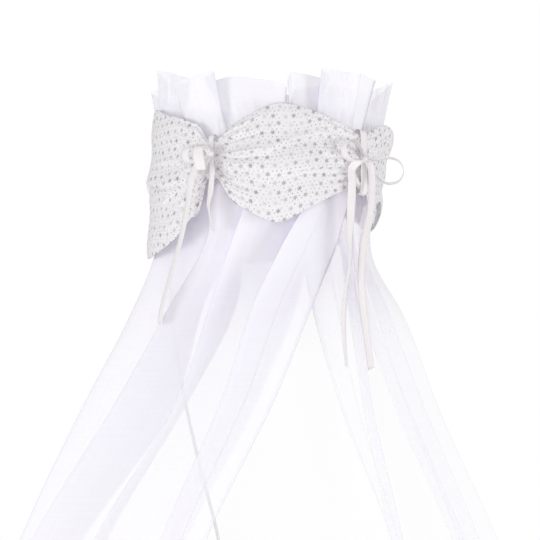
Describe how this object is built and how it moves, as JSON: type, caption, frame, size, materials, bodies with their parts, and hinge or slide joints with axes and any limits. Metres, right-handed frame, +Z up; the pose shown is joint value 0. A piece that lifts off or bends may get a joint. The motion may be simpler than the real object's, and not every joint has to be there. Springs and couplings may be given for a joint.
{
  "type": "bed canopy on a hoop and pole",
  "caption": "Sheer bed canopy gathered on an oval hoop on a bent pole, with a wide cotton band tied round its top by ribbon bows.",
  "frame": {"origin": "middle of the flat end of the pole's foot", "axes": "+Z up, front (the opening between the two front panels) toward -Y, +X to the viewer's right"},
  "size_m": [1.1501, 0.5926, 1.6431],
  "materials": {
    "white_voile": "sheer woven voile",
    "printed_cotton": "plain-weave cotton with small grey stars",
    "off_white_ribbon": "soft satin-edged ribbon",
    "white_lacquered_steel": "white lacquer on steel rod"
  },
  "bodies": {
    "root": {"hoop": "white_lacquered_steel", "pole": "white_lacquered_steel", "drape": "white_voile", "band": "printed_cotton", "tie_front_left": "off_white_ribbon", "tie_front_right": "off_white_ribbon", "tie_back_right": "off_white_ribbon", "tie_back_left": "off_white_ribbon"}
  },
  "joints": []
}
